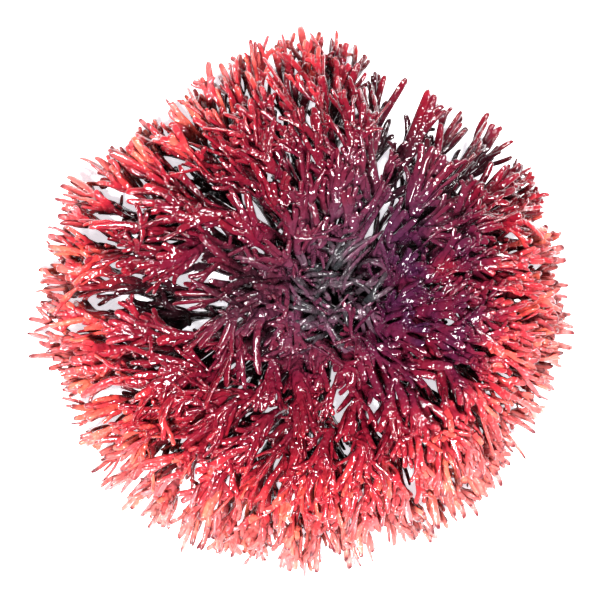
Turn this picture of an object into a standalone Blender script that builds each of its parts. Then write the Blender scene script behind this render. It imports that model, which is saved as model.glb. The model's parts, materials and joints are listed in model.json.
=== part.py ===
"""A clump of Gracilaria, a bushy red seaweed, cut flat off its rock.

The holdfast stands on its flat cut at the origin. Its fronds leave it in three rings and fork again
and again in two, each stretch a flattened stem, until they end in narrow blades. The blades together
make a round cushion that dips in the middle, where the holdfast shows.
"""

import math
import random
from itertools import permutations

import bmesh
import bpy
import numpy as np
from mathutils import Vector, noise

# The whole clump, in metres: how far its tips reach, seen from above, and the round crest that is
# its highest line. The crest is where DIP times the climb is 90 degrees.
REACH = 0.0405
LONG_SIDE_EXTRA = 0.0051
LONG_SIDE = math.radians(190)
THIN_SIDE = math.radians(66)
THIN_HALF_WIDTH = math.radians(24)
THIN_SIDE_LACK = 0.0032
DENT = math.radians(133)
DENT_HALF_WIDTH = math.radians(24)
DENT_DEPTH = 0.0045
CREST_RADIUS = 0.0170
CREST_HEIGHT = 0.0225
DIP = 1.12
FLOOR_CLEARANCE = 0.0002
GAP = 0.0003

# The holdfast
HOLDFAST_RADIUS = 0.0070
HOLDFAST_HEIGHT = 0.0070
HOLDFAST_COLUMNS = 20
HOLDFAST_ROWS = 10
LUMP_HEIGHT = 0.0007
LUMP_SIZE = 0.0030
STUMP_LENGTH = 0.0012
EQUATOR = 0.01
LOWEST_STUMP = math.radians(20)
STUMP_LIFT = 0.43

# Stems and blades: the width falls at every fork, and the stem flattens
STEM_WIDTH = 0.0021
WIDTH_KEPT = 0.89
FLATNESS = (0.85, 0.78, 0.70, 0.62, 0.56)
FORK_WIDENING = 1.45
TIP_WIDTH = 0.0017
TIP_THICKNESS = 0.0006

# How far along its way to the cushion's skin a frond forks, and how much chance moves that
FORK_PLACES = (0.19, 0.40, 0.60, 0.79)
FORK_PLACE_SPREAD = 0.045
TIP_PLACES = (0.88, 1.03)
SPLIT_SPREAD = 0.10
AIM_SPREAD = 0.20
KNEE_PLACE = 0.42
KNEE_RISE = 0.0006

# A swirl is full at a third of the way, where share times (1 - share) squared is 1 / 6.75
SWIRL_PEAK = 6.75

# Rings of fronds: azimuths of the fronds, half the sector that each fills, where its tips begin
# and end on the way up the cushion's skin from the rim, which is 0, over the crest, at 90, and how
# far its way may swirl aside, all in degrees, then how many times it forks
RINGS = {
    "outer_frond": {
        "azimuths": (3, 26, 49, 71, 93, 116, 138, 159, 180, 202, 224, 246, 269, 293, 317, 340),
        "half_sector": 11,
        "climb": (2, 33),
        "swirl": 9,
        "forks": 4,
    },
    "middle_frond": {
        "azimuths": (16, 48, 94, 124, 162, 198, 228, 256, 284, 312, 344),
        "half_sector": 16,
        "climb": (35, 73),
        "swirl": 22,
        "forks": 4,
    },
    "inner_frond": {
        "azimuths": (8, 52, 92, 130, 170, 210, 250, 290, 330),
        "half_sector": 20,
        "climb": (74, 109),
        "swirl": 30,
        "forks": 3,
    },
}

# Settling the stems clear of each other: how strongly at first each stretch keeps its direction and
# length, and the least amounts that the settling divides by
SETTLING_ROUNDS = 200
STIFFNESS = 0.5
SETTLING_REACH = 0.0060
REFRESH_ROUNDS = 20
LEAST_AREA = 1e-16
LEAST_DISTANCE = 1e-6

FROND_COLOURS = {
    "outer_frond": (0.52, 0.055, 0.060),
    "middle_frond": (0.36, 0.030, 0.050),
    "inner_frond": (0.22, 0.020, 0.045),
}
HOLDFAST_COLOUR = (0.045, 0.050, 0.055)
WET_ROUGHNESS = 0.28


class Shoot:
    """One stretch of stem, from the fork that it grew from to its own fork or its tip."""

    def __init__(self, end, order, parent=None):
        self.end = end
        self.order = order
        self.parent = parent
        self.children = []
        if parent:
            parent.children.append(self)

    def way(self):
        """The direction of the stretch."""
        return (self.end - self.parent.end).normalized()

    def heading(self):
        """The direction of the stem at the end of the stretch."""
        ahead = self.way() if self.parent else Vector()
        for child in self.children:
            ahead += child.way() / len(self.children)
        return ahead.normalized()

    def spread(self):
        """The direction across the stem in which it forks, or in which its blade is flat."""
        heading = self.heading()
        if self.children:
            across = self.children[0].end - self.children[-1].end
        else:
            across = self.parent.spread()
        return (across - heading * across.dot(heading)).normalized()

    def size(self):
        """Width and thickness of the stem at the end of the stretch."""
        if not self.children:
            return TIP_WIDTH, TIP_THICKNESS
        width = STEM_WIDTH * WIDTH_KEPT**self.order
        return width * FORK_WIDENING, width * FLATNESS[self.order]

    def corners(self):
        """The section at the end of the stretch, counterclockwise as seen from its tip side."""
        width, thickness = self.size()
        across = self.spread()
        up = self.heading().cross(across)
        across *= width / 2
        up *= thickness / 2
        return [self.end + side for side in (across + up, up - across, -across - up, across - up)]

    def family(self):
        """The shoot and all that grows from it."""
        yield self
        for child in self.children:
            yield from child.family()


def nearness(azimuth, middle, half_width):
    """How near an azimuth is to the middle of a sector: 1 there, and 0 from its sides on."""
    aside = math.remainder(azimuth - middle, math.tau) / half_width
    return max(0.0, 1 - aside * aside)


def thinness(azimuth):
    """How poor the clump is in an azimuth: 1 in the middle of its thin side, 0 away from it."""
    return nearness(azimuth, THIN_SIDE, THIN_HALF_WIDTH)


def reach(azimuth):
    """How far the outermost tips are from the middle of the holdfast, seen from above."""
    long_side = LONG_SIDE_EXTRA * math.cos(azimuth - LONG_SIDE)
    dent = DENT_DEPTH * nearness(azimuth, DENT, DENT_HALF_WIDTH)
    return REACH + long_side - THIN_SIDE_LACK * thinness(azimuth) - dent


def on_cushion(azimuth, climb):
    """The point of the cushion's skin at an azimuth, so far up from the rim."""
    out = CREST_RADIUS + (reach(azimuth) - CREST_RADIUS) * math.cos(climb)
    height = CREST_HEIGHT * math.sin(DIP * climb)
    return Vector((out * math.cos(azimuth), out * math.sin(azimuth), height))


def on_holdfast(azimuth, climb):
    """The end of the stump from which a frond that is aimed there leaves."""
    lift = LOWEST_STUMP + STUMP_LIFT * climb
    out = (HOLDFAST_RADIUS + STUMP_LENGTH) * math.cos(lift)
    height = (HOLDFAST_HEIGHT + STUMP_LENGTH) * math.sin(lift)
    return Vector((out * math.cos(azimuth), out * math.sin(azimuth), height))


def on_the_way(azimuth, climb, share, swirl):
    """A point on the way from the holdfast up over a knee and out along the cushion's skin."""
    azimuth += swirl * SWIRL_PEAK * share * (1 - share) ** 2
    start, end = on_holdfast(azimuth, climb), on_cushion(azimuth, climb)
    knee = start.lerp(end, KNEE_PLACE)
    knee.z = max(start.z, end.z) + KNEE_RISE
    return start.lerp(knee, share).lerp(knee.lerp(end, share), share)


def halves(territory, chance):
    """Split a territory of azimuths and climbs across its longer side."""
    (left, right), (low, high) = territory
    share = 0.5 + chance.uniform(-SPLIT_SPREAD, SPLIT_SPREAD)
    breadth = on_cushion(left, (low + high) / 2).xy.length * (right - left)
    if breadth > (reach(left) - CREST_RADIUS) * (high - low):
        middle = left + share * (right - left)
        return ((left, middle), (low, high)), ((middle, right), (low, high))
    middle = low + share * (high - low)
    return ((left, right), (low, middle)), ((left, right), (middle, high))


def grow(territory, forks, swirl, chance, parent):
    """Grow the shoot that serves a territory, and from its end those that share it out."""
    order = parent.order + 1
    aims = [
        low + (0.5 + chance.uniform(-AIM_SPREAD, AIM_SPREAD)) * (high - low)
        for low, high in territory
    ]
    if order == forks:
        share = chance.uniform(*TIP_PLACES)
    else:
        share = FORK_PLACES[order] + chance.uniform(-FORK_PLACE_SPREAD, FORK_PLACE_SPREAD)
    shoot = Shoot(on_the_way(*aims, share, swirl), order, parent)
    if order < forks:
        for half in halves(territory, chance):
            grow(half, forks, swirl, chance, shoot)


def frond(azimuth, half_sector, climb, swirl, forks, seed):
    """The root of a frond, with its shoots grown on it."""
    middle = math.radians(azimuth)
    low, high = (math.radians(angle) for angle in climb)
    chance = random.Random(seed)
    root = Shoot(on_holdfast(middle, (low + high) / 2), -1)
    if thinness(middle):
        forks -= 1
    sector = (middle - math.radians(half_sector), middle + math.radians(half_sector))
    swirl = math.radians(chance.uniform(-swirl, swirl))
    grow((sector, (low, high)), forks, swirl, chance, root)
    return root


def closest(starts, ways, other_starts, other_ways):
    """The shares along two rows of stretches at which each pair comes closest."""
    between = starts - other_starts
    own = (ways * ways).sum(1)
    other = (other_ways * other_ways).sum(1)
    both = (ways * other_ways).sum(1)
    own_between = (ways * between).sum(1)
    other_between = (other_ways * between).sum(1)
    spare = np.maximum(own * other - both * both, LEAST_AREA)
    share = np.clip((both * other_between - other * own_between) / spare, 0, 1)
    other_share = np.clip((both * share + other_between) / other, 0, 1)
    share = np.clip((both * other_share - own_between) / own, 0, 1)
    return share, other_share


def parting(between, needed):
    """Half of what is missing to the needed distances, as pushes along the ways in between."""
    distance = np.maximum(np.linalg.norm(between, axis=1), LEAST_DISTANCE)
    return between * (np.maximum(needed - distance, 0) / distance / 2)[:, None]


def settle(roots):
    """Push the stems apart until none touches another or sinks into the ground.

    A stem that is pushed carries along what grows from it, less and less towards the end.
    """
    shoots = [shoot for root in roots for shoot in root.family() if shoot.parent]
    points = {}
    for shoot in shoots:
        points.setdefault(shoot.parent, len(points))
        points.setdefault(shoot, len(points))
    places = np.array([point.end for point in points])
    first = np.array([points[shoot.parent] for shoot in shoots])
    last = np.array([points[shoot] for shoot in shoots])
    forks, twins, others = np.array([
        [points[point], points[child], points[other]]
        for point in points
        for child, other in permutations(point.children, 2)
    ]).T
    thick = np.array([math.hypot(*point.size()) / 2 for point in points])
    radii = thick[last]
    free = np.array([1.0 if point.parent else 0.0 for point in points])
    grown = places[last] - places[first]
    for step in range(SETTLING_ROUNDS):
        if step % REFRESH_ROUNDS == 0:
            middles = (places[first] + places[last]) / 2
            far = np.linalg.norm(middles[:, None] - middles[None], axis=2) > SETTLING_REACH
            one, two = np.nonzero(np.triu(~far, 1))
            apart = (first[one] != first[two]) & (last[one] != first[two]) & (first[one] != last[two])
            one, two = one[apart], two[apart]
        ways = places[last] - places[first]
        share, other_share = closest(
            places[first[one]], ways[one], places[first[two]], ways[two]
        )
        between = (
            places[first[one]] + share[:, None] * ways[one]
            - places[first[two]] - other_share[:, None] * ways[two]
        )
        push = parting(between, radii[one] + radii[two] + GAP)
        moves = np.zeros_like(places)
        moves[last] = (grown - ways) * STIFFNESS * (1 - step / SETTLING_ROUNDS)
        np.add.at(moves, first[one], push * (1 - share)[:, None])
        np.add.at(moves, last[one], push * share[:, None])
        np.add.at(moves, first[two], -push * (1 - other_share)[:, None])
        np.add.at(moves, last[two], -push * other_share[:, None])
        starts, ways = places[forks], places[others] - places[forks]
        share = ((places[twins] - starts) * ways).sum(1) / (ways * ways).sum(1)
        share = np.clip(share, 0, 1)[:, None]
        push = parting(places[twins] - starts - share * ways, thick[twins] + thick[others] + GAP)
        moves[twins] += push
        moves[others] -= push * share
        places += moves * free[:, None] / 2
        lowest = np.where(free > 0, thick + FLOOR_CLEARANCE, places[:, 2])
        places[:, 2] = np.maximum(places[:, 2], lowest)
    for point, place in zip(points, places):
        point.end = Vector(place)


def put_corners(face, corners):
    """Move the face's corners to the given ones, turned so that they travel least."""
    middle = sum(corners, Vector()) / 4
    centre = face.calc_center_median()

    def travel(turn):
        return sum(
            ((vert.co - centre) - (corners[(i + turn) % 4] - middle)).length_squared
            for i, vert in enumerate(face.verts)
        )

    turn = min(range(4), key=travel)
    for i, vert in enumerate(face.verts):
        vert.co = corners[(i + turn) % 4]


def split_end(face, across):
    """Split a stem's end in two, side by side, and return both halves, left and right."""
    edges = sorted(
        face.edges,
        key=lambda edge: -abs((edge.verts[0].co - edge.verts[1].co).dot(across)),
    )[:2]
    middles = [bmesh.utils.edge_split(edge, edge.verts[0], 0.5)[1] for edge in edges]
    other, _ = bmesh.utils.face_split(face, *middles)
    return sorted((face, other), key=lambda part: -part.calc_center_median().dot(across))


def extend(mesh, face, shoot):
    """Extrude a stem's end along a shoot and on along all that grows from it."""
    face = bmesh.ops.extrude_discrete_faces(mesh, faces=[face])["faces"][0]
    put_corners(face, shoot.corners())
    if shoot.children:
        for part, child in zip(split_end(face, shoot.spread()), shoot.children):
            extend(mesh, part, child)


def root_corners(root, away=0.0):
    """The section of a frond where it meets its stump, moved along the stem."""
    way = root.children[0].way()
    across = Vector((0, 0, 1)).cross(way).normalized() * STEM_WIDTH / 2
    up = way.cross(across)
    middle = root.end + way * away
    return [middle + side for side in (across + up, up - across, -across - up, across - up)]


def finished(name, mesh, material):
    """An object of the mesh."""
    data = bpy.data.meshes.new(name)
    mesh.to_mesh(data)
    mesh.free()
    thing = bpy.data.objects.new(name, data)
    data.materials.append(material)
    bpy.context.scene.collection.objects.link(thing)
    return thing


def make_frond(name, root, material):
    """One solid from a frond's shoots."""
    mesh = bmesh.new()
    start = [mesh.verts.new(corner) for corner in root_corners(root, GAP)]
    extend(mesh, mesh.faces.new(start), root.children[0])
    mesh.faces.new(reversed(start))
    bmesh.ops.recalc_face_normals(mesh, faces=mesh.faces)
    return finished(name, mesh, material)


def make_holdfast(roots, material):
    """A lumpy dome cut flat underneath, with a stump drawn out of it for every frond."""
    mesh = bmesh.new()
    bmesh.ops.create_uvsphere(
        mesh, u_segments=HOLDFAST_COLUMNS, v_segments=HOLDFAST_ROWS, radius=1
    )
    below = [vert for vert in mesh.verts if vert.co.z < -EQUATOR]
    bmesh.ops.delete(mesh, geom=below, context="VERTS")
    bmesh.ops.contextual_create(mesh, geom=[edge for edge in mesh.edges if edge.is_boundary])
    for vert in mesh.verts:
        out = vert.co.copy()
        vert.co.x *= HOLDFAST_RADIUS
        vert.co.y *= HOLDFAST_RADIUS
        vert.co.z *= HOLDFAST_HEIGHT
        lump = LUMP_HEIGHT * noise.noise(vert.co / LUMP_SIZE)
        if out.z > EQUATOR:
            vert.co += out * lump
    free = [face for face in mesh.faces if len(face.verts) == 4]
    for root in roots:
        face = min(free, key=lambda face: (face.calc_center_median() - root.end).length)
        free.remove(face)
        stump = bmesh.ops.extrude_discrete_faces(mesh, faces=[face])["faces"][0]
        put_corners(stump, root_corners(root))
    bmesh.ops.recalc_face_normals(mesh, faces=mesh.faces)
    return finished("holdfast", mesh, material)


def wet_material(name, colour):
    """Plain wet seaweed of one colour."""
    material = bpy.data.materials.new(name)
    material.use_nodes = True
    shader = material.node_tree.nodes["Principled BSDF"]
    shader.inputs["Base Color"].default_value = (*colour, 1)
    shader.inputs["Roughness"].default_value = WET_ROUGHNESS
    shader.inputs["Metallic"].default_value = 0
    return material


def main():
    for thing in list(bpy.data.objects):
        bpy.data.objects.remove(thing)
    roots = {}
    for ring, plan in RINGS.items():
        for number, azimuth in enumerate(plan["azimuths"], start=1):
            name = f"{ring}_{number:02d}"
            roots[name] = frond(
                azimuth, plan["half_sector"], plan["climb"], plan["swirl"], plan["forks"], seed=name
            )
    settle(roots.values())
    make_holdfast(roots.values(), wet_material("holdfast", HOLDFAST_COLOUR))
    for ring, colour in FROND_COLOURS.items():
        material = wet_material(ring, colour)
        for name, root in roots.items():
            if name.startswith(ring):
                make_frond(name, root, material)


main()
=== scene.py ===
# %% [markdown]
# # A clump of Gracilaria, a bushy red seaweed
#
# The real thing is one small plant that was cut off its rock: a dark, hard holdfast about 15 mm
# wide, and some thirty fronds that fork again and again until they end in soft red fingers. It
# sits on its cut like a cushion, 82 mm across and 24 mm high, and is seen from straight above.
#
# The solids that come with the frame already fix where every frond runs. This notebook gives each
# of them its living shape and its wet skin, and changes no size.

import json
import math
import random
from itertools import permutations

import bmesh
import bpy
import numpy as np
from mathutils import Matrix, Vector, noise

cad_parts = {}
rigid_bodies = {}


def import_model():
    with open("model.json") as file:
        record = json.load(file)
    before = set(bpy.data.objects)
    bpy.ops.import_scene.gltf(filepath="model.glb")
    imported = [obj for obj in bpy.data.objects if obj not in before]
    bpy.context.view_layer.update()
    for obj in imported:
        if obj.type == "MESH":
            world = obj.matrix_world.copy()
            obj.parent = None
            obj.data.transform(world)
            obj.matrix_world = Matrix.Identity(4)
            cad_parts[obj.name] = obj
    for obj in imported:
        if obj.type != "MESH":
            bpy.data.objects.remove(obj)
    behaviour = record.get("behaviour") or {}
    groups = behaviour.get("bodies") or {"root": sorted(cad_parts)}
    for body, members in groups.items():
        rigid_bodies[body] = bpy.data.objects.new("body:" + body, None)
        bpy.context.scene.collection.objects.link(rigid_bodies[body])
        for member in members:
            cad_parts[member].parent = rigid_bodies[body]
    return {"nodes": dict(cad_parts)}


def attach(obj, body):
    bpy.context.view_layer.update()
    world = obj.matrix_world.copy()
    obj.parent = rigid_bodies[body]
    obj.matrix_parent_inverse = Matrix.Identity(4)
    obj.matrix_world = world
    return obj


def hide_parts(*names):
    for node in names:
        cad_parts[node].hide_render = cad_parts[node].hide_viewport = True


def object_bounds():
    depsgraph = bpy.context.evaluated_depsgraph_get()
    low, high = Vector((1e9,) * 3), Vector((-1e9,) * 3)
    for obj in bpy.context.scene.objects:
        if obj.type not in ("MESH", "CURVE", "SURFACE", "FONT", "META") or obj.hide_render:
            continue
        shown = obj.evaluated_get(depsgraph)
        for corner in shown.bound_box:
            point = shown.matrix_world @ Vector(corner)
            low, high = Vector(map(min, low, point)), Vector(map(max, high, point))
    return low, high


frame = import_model()
cad_low, cad_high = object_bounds()
print(len(frame["nodes"]), "solids, from", tuple(cad_low), "to", tuple(cad_high))

# %% [markdown]
# ## Where the fronds run
#
# A frond could be traced from the solid that stands for it, face by face, but it is easier to
# grow it again. The solids were grown by a rule that always gives the same result: every frond
# owns a patch of a round cushion, its stem aims at the middle of the patch, and at each fork the
# patch is shared out between two branches. The same rule with the same sizes gives the same stems
# here, and then we know which stretch follows which, which a heap of faces wouldn't tell.

# %% Sizes of the whole clump, in metres
REACH = 0.0405
LONG_SIDE_EXTRA = 0.0051
LONG_SIDE = math.radians(190)
THIN_SIDE = math.radians(66)
THIN_HALF_WIDTH = math.radians(24)
THIN_SIDE_LACK = 0.0032
DENT = math.radians(133)
DENT_HALF_WIDTH = math.radians(24)
DENT_DEPTH = 0.0045
CREST_RADIUS = 0.0170
CREST_HEIGHT = 0.0225
DIP = 1.12
FLOOR_CLEARANCE = 0.0002
GAP = 0.0003

# %% Sizes of the holdfast, and of stems and blades
HOLDFAST_RADIUS = 0.0070
HOLDFAST_HEIGHT = 0.0070
STUMP_LENGTH = 0.0012
LOWEST_STUMP = math.radians(20)
STUMP_LIFT = 0.43
STEM_WIDTH = 0.0021
WIDTH_KEPT = 0.89
FLATNESS = (0.85, 0.78, 0.70, 0.62, 0.56)
FORK_WIDENING = 1.45
TIP_WIDTH = 0.0017
TIP_THICKNESS = 0.0006

# %% How the fronds fork, and how the rings of fronds are set
FORK_PLACES = (0.19, 0.40, 0.60, 0.79)
FORK_PLACE_SPREAD = 0.045
TIP_PLACES = (0.88, 1.03)
SPLIT_SPREAD = 0.10
AIM_SPREAD = 0.20
KNEE_PLACE = 0.42
KNEE_RISE = 0.0006
SWIRL_PEAK = 6.75
RINGS = {
    "outer_frond": {
        "azimuths": (3, 26, 49, 71, 93, 116, 138, 159, 180, 202, 224, 246, 269, 293, 317, 340),
        "half_sector": 11,
        "climb": (2, 33),
        "swirl": 9,
        "forks": 4,
    },
    "middle_frond": {
        "azimuths": (16, 48, 94, 124, 162, 198, 228, 256, 284, 312, 344),
        "half_sector": 16,
        "climb": (35, 73),
        "swirl": 22,
        "forks": 4,
    },
    "inner_frond": {
        "azimuths": (8, 52, 92, 130, 170, 210, 250, 290, 330),
        "half_sector": 20,
        "climb": (74, 109),
        "swirl": 30,
        "forks": 3,
    },
}


# %% A shoot: one stretch of stem between two forks
class Shoot:
    """One stretch of stem, from the fork that it grew from to its own fork or its tip."""

    def __init__(self, end, order, parent=None):
        self.end = end
        self.order = order
        self.parent = parent
        self.children = []
        self.across = None
        if parent:
            parent.children.append(self)

    def way(self):
        """The direction of the stretch."""
        return (self.end - self.parent.end).normalized()

    def heading(self):
        """The direction of the stem at the end of the stretch."""
        ahead = self.way() if self.parent else Vector()
        for child in self.children:
            ahead += child.way() / len(self.children)
        return ahead.normalized()

    def spread(self):
        """The direction across the stem in which it forks, or in which its blade is flat."""
        if self.across:
            return self.across
        heading = self.heading()
        if self.children:
            across = self.children[0].end - self.children[-1].end
        else:
            across = self.parent.spread()
        return (across - heading * across.dot(heading)).normalized()

    def size(self):
        """Width and thickness of the solid's stem at the end of the stretch."""
        if not self.children:
            return TIP_WIDTH, TIP_THICKNESS
        width = STEM_WIDTH * WIDTH_KEPT**self.order
        return width * FORK_WIDENING, width * FLATNESS[self.order]

    def family(self):
        """The shoot and all that grows from it."""
        yield self
        for child in self.children:
            yield from child.family()


# %% The cushion, the holdfast and the ways between them
def nearness(azimuth, middle, half_width):
    """How near an azimuth is to the middle of a sector: 1 there, and 0 from its sides on."""
    aside = math.remainder(azimuth - middle, math.tau) / half_width
    return max(0.0, 1 - aside * aside)


def thinness(azimuth):
    """How poor the clump is in an azimuth: 1 in the middle of its thin side, 0 away from it."""
    return nearness(azimuth, THIN_SIDE, THIN_HALF_WIDTH)


def reach(azimuth):
    """How far the outermost tips are from the middle of the holdfast, seen from above."""
    long_side = LONG_SIDE_EXTRA * math.cos(azimuth - LONG_SIDE)
    dent = DENT_DEPTH * nearness(azimuth, DENT, DENT_HALF_WIDTH)
    return REACH + long_side - THIN_SIDE_LACK * thinness(azimuth) - dent


def on_cushion(azimuth, climb):
    """The point of the cushion's skin at an azimuth, so far up from the rim."""
    out = CREST_RADIUS + (reach(azimuth) - CREST_RADIUS) * math.cos(climb)
    height = CREST_HEIGHT * math.sin(DIP * climb)
    return Vector((out * math.cos(azimuth), out * math.sin(azimuth), height))


def on_holdfast(azimuth, climb):
    """The end of the stump from which a frond that is aimed there leaves."""
    lift = LOWEST_STUMP + STUMP_LIFT * climb
    out = (HOLDFAST_RADIUS + STUMP_LENGTH) * math.cos(lift)
    height = (HOLDFAST_HEIGHT + STUMP_LENGTH) * math.sin(lift)
    return Vector((out * math.cos(azimuth), out * math.sin(azimuth), height))


def on_the_way(azimuth, climb, share, swirl):
    """A point on the way from the holdfast up over a knee and out along the cushion's skin."""
    azimuth += swirl * SWIRL_PEAK * share * (1 - share) ** 2
    start, end = on_holdfast(azimuth, climb), on_cushion(azimuth, climb)
    knee = start.lerp(end, KNEE_PLACE)
    knee.z = max(start.z, end.z) + KNEE_RISE
    return start.lerp(knee, share).lerp(knee.lerp(end, share), share)


# %% Growing a frond
def halves(territory, chance):
    """Split a territory of azimuths and climbs across its longer side."""
    (left, right), (low, high) = territory
    share = 0.5 + chance.uniform(-SPLIT_SPREAD, SPLIT_SPREAD)
    breadth = on_cushion(left, (low + high) / 2).xy.length * (right - left)
    if breadth > (reach(left) - CREST_RADIUS) * (high - low):
        middle = left + share * (right - left)
        return ((left, middle), (low, high)), ((middle, right), (low, high))
    middle = low + share * (high - low)
    return ((left, right), (low, middle)), ((left, right), (middle, high))


def grow(territory, forks, swirl, chance, parent):
    """Grow the shoot that serves a territory, and from its end those that share it out."""
    order = parent.order + 1
    aims = [
        low + (0.5 + chance.uniform(-AIM_SPREAD, AIM_SPREAD)) * (high - low)
        for low, high in territory
    ]
    if order == forks:
        share = chance.uniform(*TIP_PLACES)
    else:
        share = FORK_PLACES[order] + chance.uniform(-FORK_PLACE_SPREAD, FORK_PLACE_SPREAD)
    shoot = Shoot(on_the_way(*aims, share, swirl), order, parent)
    if order < forks:
        for half in halves(territory, chance):
            grow(half, forks, swirl, chance, shoot)


def frond(azimuth, half_sector, climb, swirl, forks, seed):
    """The root of a frond, with its shoots grown on it."""
    middle = math.radians(azimuth)
    low, high = (math.radians(angle) for angle in climb)
    chance = random.Random(seed)
    root = Shoot(on_holdfast(middle, (low + high) / 2), -1)
    if thinness(middle):
        forks -= 1
    sector = (middle - math.radians(half_sector), middle + math.radians(half_sector))
    swirl = math.radians(chance.uniform(-swirl, swirl))
    grow((sector, (low, high)), forks, swirl, chance, root)
    return root


roots = {}
for ring, plan in RINGS.items():
    for number, azimuth in enumerate(plan["azimuths"], start=1):
        name = f"{ring}_{number:02d}"
        roots[name] = frond(
            azimuth, plan["half_sector"], plan["climb"], plan["swirl"], plan["forks"], seed=name
        )
blades = sum(not shoot.children for root in roots.values() for shoot in root.family())
print(len(roots), "fronds with", blades, "blades")


# %% [markdown]
# ## Settling
#
# Grown by chance alone, stems would run through each other. The real ones push each other aside,
# and so do these: wherever two stretches come closer than they are thick, both are moved apart a
# little, over and over. The roots stay where they are and nothing sinks into the ground.

# %% Where two stretches come closest
SETTLING_ROUNDS = 200
STIFFNESS = 0.5
SETTLING_REACH = 0.0060
REFRESH_ROUNDS = 20
LEAST_AREA = 1e-16
LEAST_DISTANCE = 1e-6


def closest(starts, ways, other_starts, other_ways):
    """The shares along two rows of stretches at which each pair comes closest."""
    between = starts - other_starts
    own = (ways * ways).sum(1)
    other = (other_ways * other_ways).sum(1)
    both = (ways * other_ways).sum(1)
    own_between = (ways * between).sum(1)
    other_between = (other_ways * between).sum(1)
    spare = np.maximum(own * other - both * both, LEAST_AREA)
    share = np.clip((both * other_between - other * own_between) / spare, 0, 1)
    other_share = np.clip((both * share + other_between) / other, 0, 1)
    share = np.clip((both * other_share - own_between) / own, 0, 1)
    return share, other_share


# %% Push the stems apart
def parting(between, needed):
    """Half of what is missing to the needed distances, as pushes along the ways in between."""
    distance = np.maximum(np.linalg.norm(between, axis=1), LEAST_DISTANCE)
    return between * (np.maximum(needed - distance, 0) / distance / 2)[:, None]


def settle(roots):
    """Push the stems apart until none touches another or sinks into the ground.

    A stem that is pushed carries along what grows from it, less and less towards the end.
    """
    shoots = [shoot for root in roots for shoot in root.family() if shoot.parent]
    points = {}
    for shoot in shoots:
        points.setdefault(shoot.parent, len(points))
        points.setdefault(shoot, len(points))
    places = np.array([point.end for point in points])
    first = np.array([points[shoot.parent] for shoot in shoots])
    last = np.array([points[shoot] for shoot in shoots])
    forks, twins, others = np.array([
        [points[point], points[child], points[other]]
        for point in points
        for child, other in permutations(point.children, 2)
    ]).T
    thick = np.array([math.hypot(*point.size()) / 2 for point in points])
    radii = thick[last]
    free = np.array([1.0 if point.parent else 0.0 for point in points])
    grown = places[last] - places[first]
    for step in range(SETTLING_ROUNDS):
        if step % REFRESH_ROUNDS == 0:
            middles = (places[first] + places[last]) / 2
            far = np.linalg.norm(middles[:, None] - middles[None], axis=2) > SETTLING_REACH
            one, two = np.nonzero(np.triu(~far, 1))
            apart = (first[one] != first[two]) & (last[one] != first[two]) & (first[one] != last[two])
            one, two = one[apart], two[apart]
        ways = places[last] - places[first]
        share, other_share = closest(
            places[first[one]], ways[one], places[first[two]], ways[two]
        )
        between = (
            places[first[one]] + share[:, None] * ways[one]
            - places[first[two]] - other_share[:, None] * ways[two]
        )
        push = parting(between, radii[one] + radii[two] + GAP)
        moves = np.zeros_like(places)
        moves[last] = (grown - ways) * STIFFNESS * (1 - step / SETTLING_ROUNDS)
        np.add.at(moves, first[one], push * (1 - share)[:, None])
        np.add.at(moves, last[one], push * share[:, None])
        np.add.at(moves, first[two], -push * (1 - other_share)[:, None])
        np.add.at(moves, last[two], -push * other_share[:, None])
        starts, ways = places[forks], places[others] - places[forks]
        share = ((places[twins] - starts) * ways).sum(1) / (ways * ways).sum(1)
        share = np.clip(share, 0, 1)[:, None]
        push = parting(places[twins] - starts - share * ways, thick[twins] + thick[others] + GAP)
        moves[twins] += push
        moves[others] -= push * share
        places += moves * free[:, None] / 2
        lowest = np.where(free > 0, thick + FLOOR_CLEARANCE, places[:, 2])
        places[:, 2] = np.maximum(places[:, 2], lowest)
    for point, place in zip(points, places):
        point.end = Vector(place)


settle(roots.values())


# %% Are these the stems that the solids have?
def farthest_from_solid(name):
    """How far the worst blade tip of a frond is from the nearest corner of its solid."""
    corners = np.array([vert.co for vert in frame["nodes"][name].data.vertices])
    tips = [shoot.end for shoot in roots[name].family() if not shoot.children]
    return max(np.linalg.norm(corners - np.array(tip), axis=1).min() for tip in tips)


worst = max(farthest_from_solid(name) for name in roots)
print(f"blade tips lie within {worst * 1000:.2f} mm of the corners of their solids")


# %% [markdown]
# ## Straps that split at their ends
#
# On the real frond every blade is a flat strap, and most of them split at the end into two or
# three pointed fingers. They are too many for the solids, which have one plain blade for each
# strap. Here the last stretch is shortened, and the fingers spread from it to where the blade
# ended. Some straps are short, which leaves long thin fingers, and a few don't split at all.

# %% Split the blades
BLADE_ORDER = 4
BLADE_WIDTH = 0.00175
BLADE_THICKNESS = 0.00060
FINGER_WIDTHS = {5: 0.00132, 6: 0.00112, 7: 0.00094, 8: 0.00080, 9: 0.00070}
FINGER_THICKNESS = 0.52
BLADE_SHARES = (0.05, 0.60)
FINGER_HALF_SPREAD = 0.00105
SPREAD_KEPT = 0.60
ROLL = math.radians(30)
LEVELLING = 0.9
SPLIT_AT_ALL = 0.85
SPLIT_AGAIN = 0.34
STALK_SHARES = (0.25, 0.55)
FINGER_LACK = (-0.05, 0.56)
LOWEST_MIDDLE = 0.0008


def turned_across(way, across, roll):
    """The part of a direction across a way, rolled about the way."""
    across = (across - way * across.dot(way)).normalized()
    return across * math.cos(roll) + way.cross(across) * math.sin(roll)


def levelled(way, across):
    """A direction across a way, turned towards the level, so that straps lie flat."""
    level = Vector((0, 0, 1)).cross(way)
    return across + level * math.copysign(LEVELLING, level.dot(across))


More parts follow.
